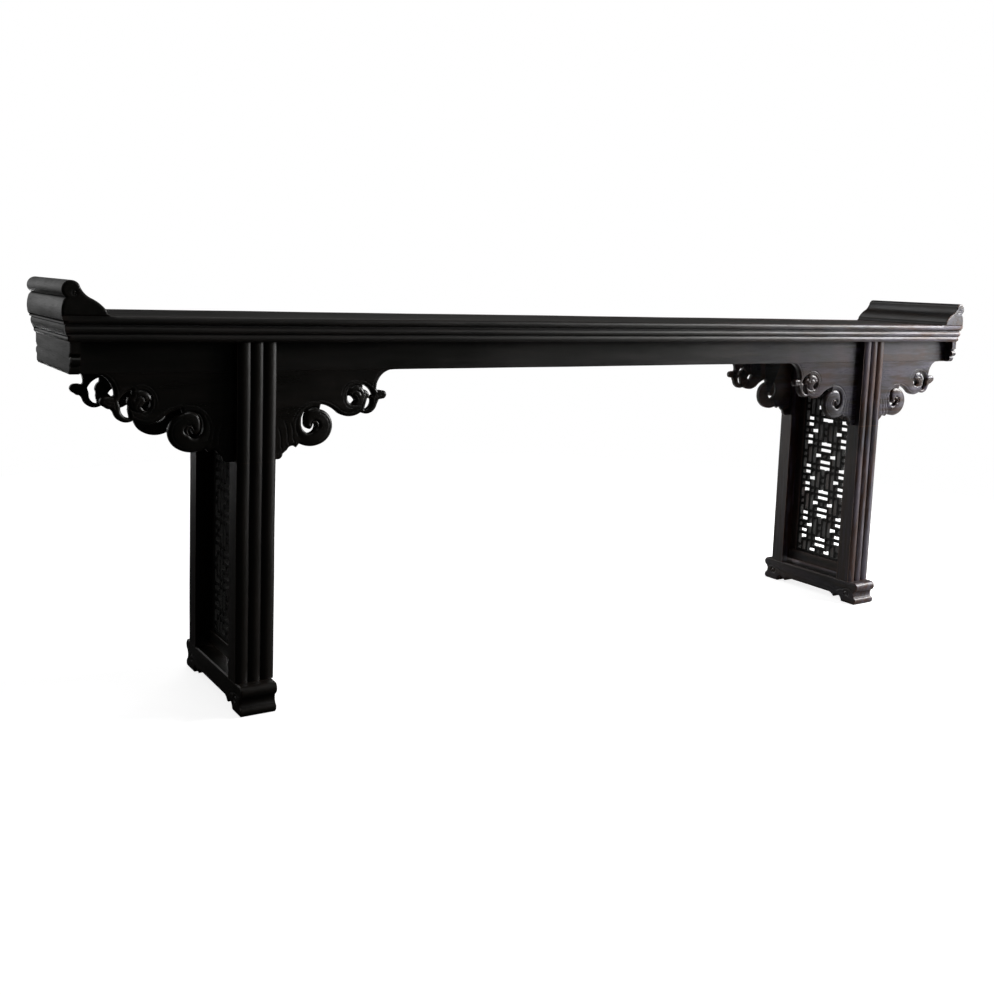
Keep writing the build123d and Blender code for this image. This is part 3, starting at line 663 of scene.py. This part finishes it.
GRAINS = ("lengthwise", "crosswise", "upright")  # along X, Y and Z
FINISHES = (  # ways of the grain, shares of thin lacquer, of bloom with painted sheen and of rubbing with painted highlight, and roughness
    ("lacquered_elm", GRAINS, 0.35, 0.5, 0.5, 0.34),
    ("worn_elm", GRAINS, 0.8, 0.9, 0.7, 0.36),
    ("lattice_elm", GRAINS, 0.0, 0.0, 0.1, 0.7),
    ("rail_elm", GRAINS[:1], 0.7, 0.9, 0.5, 0.46),
    ("panel_elm", GRAINS[:1], 0.2, 0.5, 0.4, 0.4),
    ("carved_elm", GRAINS[:1], 0.3, 0.75, 0.6, 0.28),
)


# ---- Operators ----
class TABLE_OT_finishes(bpy.types.Operator):
    """Make the lacquered elm finishes and give them to the frame's nodes."""

    bl_idname = "altar_table.finishes"
    bl_label = "Lacquered elm finishes"

    def execute(self, context):
        for name, ways, *recipe in FINISHES:
            for grain, way in enumerate(ways):
                elm(f"{name}_{way}", grain, *recipe)
        for name, node in frame["nodes"].items():
            node.data.materials.clear()
            node.data.materials.append(bpy.data.materials[f"{SLOTS[name]}_lengthwise"])
        return {"FINISHED"}


class TABLE_OT_top(bpy.types.Operator):
    """Build the mitred frame with its moulded edge and everted flanges, and the panel it holds."""

    bl_idname = "altar_table.top"
    bl_label = "Top with everted flanges"

    def execute(self, context):
        self.rails()
        self.ends()
        self.panel()
        return {"FINISHED"}

    def rails(self):
        """Two long rails, their moulding run right out to the corners."""
        arris = 0.8  # softening of the inner upper edge
        straight = inner_length - 12
        profile = np.concatenate([
            run((inner_depth, underside), ((edge_foot, underside), 0), step=6, closed=False)[:-1],
            edge_line(),
            run((half_depth - edge_round, surface), ((inner_depth + arris, surface), 0),
                ((inner_depth, surface - arris), 0), ((inner_depth, underside), 0),
                step=6, closed=False)[1:-1],
        ])

        def reach(flat):
            return np.minimum(inner_length + flat[:, 0] - inner_depth, end_reach(flat[:, 1]))

        def stations(low, high):
            middle = np.linspace(-straight, straight, 140)  # some 19 mm apart
            shares = np.linspace(0, 1, 7)[1:-1]
            right = [straight + (high - straight) * share for share in shares]
            left = [low + (-straight - low) * share for share in shares]
            return np.array(left + [np.full(len(high), place) for place in middle] + right)

        rail = slab([profile], lambda flat: -reach(flat), reach, rings=stations)
        points = rail[0]
        # under a flange the edge isn't rounded, and meets the end's side squarely
        edge_low = surface - edge_drop
        under_flange = (np.abs(points[:, 2]) > inner_length) & (points[:, 1] > edge_low) & (
            points[:, 0] > half_depth - edge_round)
        rise = (points[under_flange, 1] - edge_low) / edge_drop
        points[under_flange, 0] = half_depth
        points[under_flange, 1] = edge_low + edge_drop * np.clip(rise * 1.6, 0, 1)
        add_pieces("{face}_moulded_rail", [rail], "lengthwise",
                   "rail_elm_lengthwise", "{face}_top_rail", crease=30)

    def ends(self):
        """Two short members, each one piece with its flange and roll."""
        line = end_line()
        first_above = int(np.argmax(line[:, 1] > surface))
        seam = (float(end_reach(np.array([surface]))[0]), surface)
        lower = np.concatenate([
            [(inner_length, underside)], line[:first_above], [seam], [(inner_length, surface)]])
        contour = np.concatenate([[seam], line[first_above:]])
        edge = edge_line()
        soft = settings().softening / MM
        spiral = sweep(roll_centre - 6, (-150, 6), (40, 4.5), (260, 2))

        def lower_reach(flat):
            mitre = inner_depth + flat[:, 0] - inner_length
            return np.minimum(mitre, np.interp(flat[:, 1], edge[:, 1], edge[:, 0]))

        def upper_reach(flat):
            drop = rounded_drop(distance(flat, contour), soft * 1.6, soft)
            eye = rounded_drop(distance(flat, spiral), reach=3.4, depth=1.8)
            return half_depth - np.maximum(drop, eye)

        lower_shell = slab([lower], lambda flat: -lower_reach(flat), lower_reach, rings=18)
        upper_shell = slab([contour], lambda flat: -upper_reach(flat), upper_reach, grid=(2, 2), rings=18)
        add_pieces("{side}_everted_end", [lower_shell, upper_shell], "crosswise",
                   "lacquered_elm_crosswise", "{side}_flanged_end", crease=32)

    def panel(self):
        """Floating panel, a little dished across its width."""
        gap, sunk, dish = 1.0, 0.2, 0.5
        corner = np.array((inner_length - gap, inner_depth - gap))
        flat = box_outline(-corner, corner, softening=0.5)

        def dished(points):
            return surface - sunk - dish * np.cos(points[:, 1] / inner_depth * math.pi / 2)

        board = slab([flat], limits("top_panel")[0][2], dished, grid=(0, 14))
        add_pieces("floating_panel", [board], "upright", "panel_elm_lengthwise", "top_panel")


class TABLE_OT_aprons(bpy.types.Operator):
    """Build the straight long aprons and the scalloped end aprons."""

    bl_idname = "altar_table.aprons"
    bl_label = "Aprons"

    def execute(self, context):
        board = box_outline((apron_low[1], apron_bottom), (apron_high[1], underside), 1.0, step=4)
        long_apron = slab([board], -end_apron_low[0], end_apron_low[0], rings=24)
        add_pieces("{face}_apron_board", [long_apron], "lengthwise",
                   "lacquered_elm_lengthwise", "{face}_apron")
        tip = end_apron_high[1]
        outline = mirrored(run(
            (0, underside), ((0, apron_bottom), 0), ((tip - 19, apron_bottom), 0),
            ((tip - 9, apron_bottom + 18), -6.5), ((tip - 10, apron_bottom + 36.5), -11.0),
            ((tip, apron_bottom + 43), 0), ((tip, underside), 0)))
        lower_edge = outline[(outline[:, 0] > 0) & (outline[:, 1] < underside - 1)]
        soft = settings().softening / MM

        def face_at(flat):
            gap = distance(np.abs(flat), lower_edge)
            return end_apron_high[0] - rounded_drop(gap, soft * 1.3, soft * 0.7)

        end_apron = slab([outline], end_apron_low[0], face_at, grid=(0, 3))
        add_pieces("{side}_scalloped_apron", [end_apron], "lengthwise",
                   "lacquered_elm_crosswise", "{side}_end_apron")
        return {"FINISHED"}


class TABLE_OT_spandrels(bpy.types.Operator):
    """Carve the pierced cloud-scroll spandrels."""

    bl_idname = "altar_table.spandrels"
    bl_label = "Cloud-scroll spandrels"

    def execute(self, context):
        carving_grid = settings().carving_grid / MM
        for place in ("outer", "inner"):
            outlines = spandrel_outlines(place)
            relief = spandrel_relief(outlines)
            points, faces, wear_and_shading = slab(
                outlines, apron_low[1], lambda flat: apron_high[1] + relief(flat),
                grid=(0, carving_grid), rings=6)
            if place == "inner":
                points[:, 0] *= -1
            points[:, 0] += leg_high[0] if place == "outer" else leg_low[0]
            add_pieces(f"{{face}}_{{side}}_{place}_scroll", [(points, faces, wear_and_shading)], "crosswise",
                       "carved_elm_lengthwise", f"{{face}}_{place}_spandrels", crease=50)
        return {"FINISHED"}


class TABLE_OT_legs(bpy.types.Operator):
    """Build the four reeded legs, slotted for apron and spandrels."""

    bl_idname = "altar_table.legs"
    bl_label = "Reeded legs"

    def execute(self, context):
        outline = leg_outline()
        slot_floor = spandrel_low[2]
        lower = slab([outline], runner_height, slot_floor, rings=15)
        reeds = outline[outline[:, 1] > apron_high[1] + 0.1]
        first = int(np.argmax(reeds[:, 0] > leg_high[0] - 0.01))
        before_slot = np.concatenate([
            [(leg_high[0], apron_high[1])], reeds[first:], reeds[:first], [(leg_low[0], apron_high[1])]])
        slot_gap = 0.4
        behind_slot = box_outline(leg_low[:2], (leg_high[0], apron_low[1] - slot_gap), softening=0.8)
        cheeks = [slab([cheek], slot_floor, underside, rings=15) for cheek in (before_slot, behind_slot)]
        add_pieces("{face}_{side}_reeded_leg", [lower, *cheeks], "upright",
                   "worn_elm_upright", "{face}_{side}_leg", crease=32)
        return {"FINISHED"}


class TABLE_OT_runners(bpy.types.Operator):
    """Build the two runners with their scrolled toes and carved sides."""

    bl_idname = "altar_table.runners"
    bl_label = "Runners"

    def execute(self, context):
        outline = runner_outline()
        rim = ring(outline)
        soft = settings().softening / MM
        curl = sweep((157, 30), (-40, 10), (60, 9), (150, 8), (230, 6), (320, 4))
        stem = run((118, 30), ((140, 40), 3), ((168, 46), 2), ((182, 40), 2), closed=False)

        def side_drop(flat):
            folded = np.column_stack([np.abs(flat[:, 0]), flat[:, 1]])
            return np.max([
                rounded_drop(distance(flat, rim), soft * 1.5, soft * 0.8),
                rounded_drop(distance(folded, curl), reach=4.0, depth=3.0),
                rounded_drop(distance(folded, stem), reach=3.5, depth=1.8)], axis=0)

        body = slab([outline], lambda flat: runner_low[0] + side_drop(flat),
                    lambda flat: runner_high[0] - side_drop(flat), grid=(2.5, 2.5), rings=12)
        add_pieces("{side}_scrolled_runner", [body], "lengthwise",
                   "worn_elm_crosswise", "{side}_runner", crease=40)
        return {"FINISHED"}


class TABLE_OT_lattices(bpy.types.Operator):
    """Weave the lattice between each pair of legs and frame it with rails and stiles."""

    bl_idname = "altar_table.lattices"
    bl_label = "Lattice ends"

    stick_width = 8.0
    pitch = 19.85  # from stick to stick
    block = 4  # cells from one block of the weave to the next
    half_depths = {"uprights": 7.1, "crossbars": 6.1}
    shade = -0.1  # painted shade: the sticks count as sunk, so that the near black hollow colour keeps them dark

    def execute(self, context):
        columns = round((field_high[1] - field_low[1] - self.stick_width) / self.pitch)
        rows = round((field_high[2] - field_low[2] - self.stick_width) / self.pitch)
        self.half_columns = (columns - 1) // 2
        self.half_rows = (rows - 1) // 2
        self.framing()
        self.weave()
        return {"FINISHED"}

    def framing(self):
        """Cross rails and stiles, their arrises softened."""
        for name, low, high in (("lower", lower_rail_low, lower_rail_high),
                                ("upper", upper_rail_low, upper_rail_high)):
            outline = box_outline(low[[0, 2]], high[[0, 2]], softening=1.8, step=5)
            rail = slab([outline], -leg_low[1], leg_low[1])
            add_pieces(f"{{side}}_{name}_cross_rail", [rail], "crosswise",
                       "lacquered_elm_crosswise", f"{{side}}_{name}_rail")
        outline = box_outline(stile_low[:2], stile_high[:2], softening=1.2, step=5)
        stile = slab([outline], field_low[2], field_high[2])
        add_pieces("{face}_{side}_stile", [stile], "upright",
                   "lacquered_elm_upright", "{face}_{side}_lattice_stile")

    def open_slots(self, column, row):
        """The open slots of the weave that a cell lies in."""
        slots = set()
        first_column, first_row = column - column % self.block, row - row % self.block
        for block_column in (first_column, first_column + self.block):
            for block_row in (first_row, first_row + self.block):
                along, across = column - block_column, row - block_row
                if (block_column + block_row) % (2 * self.block):  # every other block lies across
                    along, across = across, along
                if abs(along) <= 1 and 1 <= abs(across) <= 2:
                    slots.add((block_column, block_row, "long slot", across))
                if across == 0 and 1 <= abs(along) <= 2:
                    slots.add((block_column, block_row, "short slot", along > 0))
        return slots

    def parted(self, cell, neighbour):
        """Whether a stick parts two neighbouring cells."""
        within = [abs(column) <= self.half_columns and abs(row) <= self.half_rows
                  for column, row in (cell, neighbour)]
        if not any(within):
            return False
        return not all(within) or not self.open_slots(*cell) & self.open_slots(*neighbour)

    def stands(self, line, row):
        """Whether an upright runs past this row."""
        return self.parted((line, row), (line + 1, row))

    def lies(self, line, column):
        """Whether a crossbar runs past this column."""
        return self.parted((column, line), (column, line + 1))

    def upright_passes(self, line, level):
        """Whether the upright fills the crossing of two lines."""
        below, above = self.stands(line, level), self.stands(line, level + 1)
        left, right = self.lies(level, line), self.lies(level, line + 1)
        return (below and above) or ((below or above) and not (left and right))

    def stick_runs(self, present, passes, last):
        """Limits of each unbroken stick along one line, from the middle of the field."""
        overlap = self.stick_width / 2
        runs, start = [], None
        for cell in range(-last, last + 1):
            if not present(cell):
                continue
            if start is None:
                start = (cell - 0.5) * self.pitch + (-overlap if passes(cell - 1) else overlap)
            if not (passes(cell) and present(cell + 1)):
                runs.append((start, (cell + 0.5) * self.pitch + (overlap if passes(cell) else -overlap)))
                start = None
        return runs

    def stick(self, section, run_limits, middle, stands):
        """One stick with its crowned faces, standing or lying, about its line's middle."""
        count = len(section)
        points = []
        for end in run_limits:
            for depth, across in section:
                points.append((depth, middle + across, end) if stands else (depth, end, middle + across))
        faces = [list(range(count)), list(range(count, 2 * count))]
        faces += [[a, (a + 1) % count, (a + 1) % count + count, a + count] for a in range(count)]
        return np.array(points), faces, np.full(2 * count, self.shade)

    def section(self, name, swell=0.0):
        """Section of a stick, as (X, across), with both its sides crowned."""
        deep, wide = self.half_depths[name], self.stick_width / 2 + swell
        crown = settings().stick_crown / MM
        return run(
            (-deep, -wide), ((deep, -wide), 0), ((deep, wide), -crown), ((-deep, wide), 0),
            ((-deep, -wide), -crown), step=2.5) + (leg_centre, 0)

    def weave(self):
        """Every upright and crossbar of both fields."""
        centre = (field_low[2] + field_high[2]) / 2
        uprights, crossbars = [], []
        section = self.section("uprights")
        for line in range(-self.half_columns - 1, self.half_columns + 1):
            for low, high in self.stick_runs(
                    lambda row: self.stands(line, row), lambda level: self.upright_passes(line, level),
                    self.half_rows):
                middle = (line + 0.5) * self.pitch
                uprights.append(self.stick(section, (centre + low, centre + high), middle, True))
        section = self.section("crossbars", swell=0.1)
        for line in range(-self.half_rows - 1, self.half_rows + 1):
            for run_limits in self.stick_runs(
                    lambda column: self.lies(line, column), lambda at: not self.upright_passes(at, line),
                    self.half_columns):
                middle = centre + (line + 0.5) * self.pitch
                crossbars.append(self.stick(section, run_limits, middle, False))
        for name, sticks, grain in (("uprights", uprights, "upright"), ("crossbars", crossbars, "crosswise")):
            add_pieces(f"{{side}}_woven_{name}", sticks, "upright", f"lattice_elm_{grain}",
                       f"{{side}}_lattice_{name}", crease=45)


class TABLE_OT_stage(bpy.types.Operator):
    """Set up the pale floor, the studio light and the camera."""

    bl_idname = "altar_table.stage"
    bl_label = "Stage, light and camera"

    def execute(self, context):
        self.floor()
        self.world()
        self.lamps()
        self.camera()
        context.scene.view_settings.view_transform = "Standard"
        return {"FINISHED"}

    def floor(self):
        """A wide pale floor that keeps the table's shadow and runs out to white."""
        mesh = bpy.data.meshes.new("studio_floor")
        half = 40.0
        corners = [(-half, -half, 0), (half, -half, 0), (half, half, 0), (-half, half, 0)]
        mesh.from_pydata(corners, [], [(0, 1, 2, 3)])
        material = bpy.data.materials.new("painted_floor")
        add = node_adder(material)
        paint = (*finish_colours().floor, 1)
        path = add("LightPath")
        place = add("TexCoord").outputs["Object"]
        far = add("VectorMath", {0: place}, operation="LENGTH").outputs["Value"]
        beyond = add("MapRange", {"Value": far, "From Min": 1.2, "From Max": 3.2}).outputs["Result"]
        lit = add("BsdfDiffuse", {"Color": paint})
        glow = add("Emission", {"Color": paint, "Strength": 0.93})
        near = add("AddShader", {0: lit.outputs[0], 1: glow.outputs[0]})
        white = add("Emission", {"Color": (1, 1, 1, 1), "Strength": 1.0})
        sight = add("MixShader", {0: beyond, 1: near.outputs[0], 2: white.outputs[0]})
        # what the lacquer mirrors and is lit by: painted light, a floor colour that the camera does not see,
        # dim and painted lighter towards the right and the rear
        across = add("VectorMath", {0: place, 1: (1, 0.7, 0)}, operation="DOT_PRODUCT").outputs["Value"]
        dimmed = add("MapRange", {
            "Value": across, "From Min": -0.4, "From Max": 1.6, "To Min": 0.04, "To Max": 0.6})
        dim = add("BsdfDiffuse", {"Color": dimmed.outputs["Result"]})
        shown = add("MixShader", {0: path.outputs["Is Camera Ray"], 1: dim.outputs[0], 2: sight.outputs[0]})
        add("OutputMaterial", {"Surface": shown.outputs[0]})
        mesh.materials.append(material)
        floor = add_object("studio_floor", mesh)

    def world(self):
        """White to the eye; to the lacquer a dim room, lighter towards its right and its far left."""
        world = bpy.data.worlds.new("studio_room")
        bpy.context.scene.world = world
        add = node_adder(world)
        way = add("SeparateXYZ", {"Vector": add("TexCoord").outputs["Generated"]})
        right = add("MapRange", {
            "Value": way.outputs["X"], "From Min": 0.3, "From Max": 0.95, "To Min": 0.012, "To Max": 0.085})
        left = add("MapRange", {
            "Value": way.outputs["X"], "From Min": 0.1, "From Max": -0.35, "To Min": 0.0, "To Max": 0.36})
        behind = add("MapRange", {"Value": way.outputs["Y"], "From Min": 0.0, "From Max": 0.5})
        level = add("Math", {
            0: left.outputs[0], 1: behind.outputs[0], 2: right.outputs[0]}, operation="MULTIPLY_ADD")
        path = add("LightPath")
        room = add("Background", {"Color": (1, 1, 1, 1), "Strength": level.outputs[0]})
        white = add("Background", {"Color": (1, 1, 1, 1), "Strength": 1.0})
        seen = add("MixShader", {0: path.outputs["Is Camera Ray"], 1: room.outputs[0], 2: white.outputs[0]})
        add("OutputWorld", {"Surface": seen.outputs[0]})

    def lamps(self):
        """Soft boxes: most of the light falls on the right end from its front, and the left stays dim.

        Each has its place, the point it faces, its width and height, all in metres, and its watts.
        """
        for name, place, target, size, power in (
                ("right_softbox", (6.5, -3.0, 1.3), (0.9, 0, 0.6), (3.4, 2.6), 18.0),
                ("right_window", (4.4, -3.6, 3.4), (0.4, 0, 0.8), (0.8, 1.4), 20.0),
                ("near_right", (3.3, -1.1, 0.75), (1.1, 0, 0.5), (0.9, 1.5), 7.5),
                ("over_right", (2.5, -0.9, 1.6), (1.1, 0, 0.4), (1.2, 1.2), 82.0),
                ("top_softbox", (0.2, 1.6, 3.4), (0.5, 0, 0.7), (2.6, 1.2), 13.0),
                ("top_left", (-0.9, -0.7, 2.4), (-1.2, 0, 0.9), (0.5, 0.5), 2.0),
                ("left_softbox", (-2.2, 3.9, 1.3), (-1.4, 0, 0.8), (3.2, 1.8), 5.2),
                ("rear_softbox", (0.2, 3.4, 0.42), (0.0, 0, 0.42), (3.2, 0.7), 60.0)):
            lamp = bpy.data.lights.new(name, "AREA")
            lamp.shape = "RECTANGLE"
            lamp.size, lamp.size_y = size
            lamp.energy = power
            box = add_object(name, lamp)
            box.visible_camera = False
            box.location = place
            box.rotation_euler = (Vector(target) - Vector(place)).to_track_quat("-Z", "Y").to_euler()

    def camera(self):
        """A camera a little above the surface, left of the front."""
        yaw, pitch, roll = math.radians(32.8), math.radians(6.9), math.radians(2.1)
        width, height, focal_length = 994, 995, 1145.1  # in pixels
        axis_x, axis_y = 500.7, 413.7  # where the lens's axis meets the frame, in pixels
        lens = bpy.data.cameras.new("camera")
        lens.sensor_fit = "HORIZONTAL"
        lens.sensor_width = 36.0
        lens.lens = lens.sensor_width * focal_length / width
        lens.shift_x = (width / 2 - axis_x) / width
        lens.shift_y = (axis_y - height / 2) / width
        lens.clip_end = 100
        camera = add_object("camera", lens)
        camera.matrix_world = Matrix.Translation((-1.9084, -2.5471, 0.9979)) @ Matrix.Rotation(
            -yaw, 4, "Z") @ Matrix.Rotation(math.pi / 2 - pitch, 4, "X") @ Matrix.Rotation(roll, 4, "Z")
        bpy.context.scene.camera = camera


OPERATORS = (
    TABLE_OT_finishes, TABLE_OT_top, TABLE_OT_aprons, TABLE_OT_spandrels,
    TABLE_OT_legs, TABLE_OT_runners, TABLE_OT_lattices, TABLE_OT_stage,
)


class TABLE_PT_panel(bpy.types.Panel):
    """The table's settings, and a button for each group of pieces."""

    bl_idname = "TABLE_PT_panel"
    bl_label = "Altar table"
    bl_space_type = "VIEW_3D"
    bl_region_type = "UI"
    bl_category = "Altar table"

    def draw(self, context):
        for group in (context.scene.altar_table_sizes, context.scene.altar_table_colours):
            for name in group.__annotations__:
                self.layout.prop(group, name)
        for operator in OPERATORS:
            self.layout.operator(operator.bl_idname)


CLASSES = (AltarTableSizes, AltarTableColours, *OPERATORS, TABLE_PT_panel)


def register():
    """Register the classes and hang the settings on the scene."""
    for made in CLASSES:
        bpy.utils.register_class(made)
    bpy.types.Scene.altar_table_sizes = bpy.props.PointerProperty(type=AltarTableSizes)
    bpy.types.Scene.altar_table_colours = bpy.props.PointerProperty(type=AltarTableColours)


def unregister():
    """Take the settings and the classes away again."""
    del bpy.types.Scene.altar_table_sizes
    del bpy.types.Scene.altar_table_colours
    for made in reversed(CLASSES):
        bpy.utils.unregister_class(made)


def main():
    """Build every group in turn."""
    register()
    for operator in OPERATORS:
        group, name = operator.bl_idname.split(".")
        getattr(getattr(bpy.ops, group), name)()


if __name__ == "__main__":
    main()
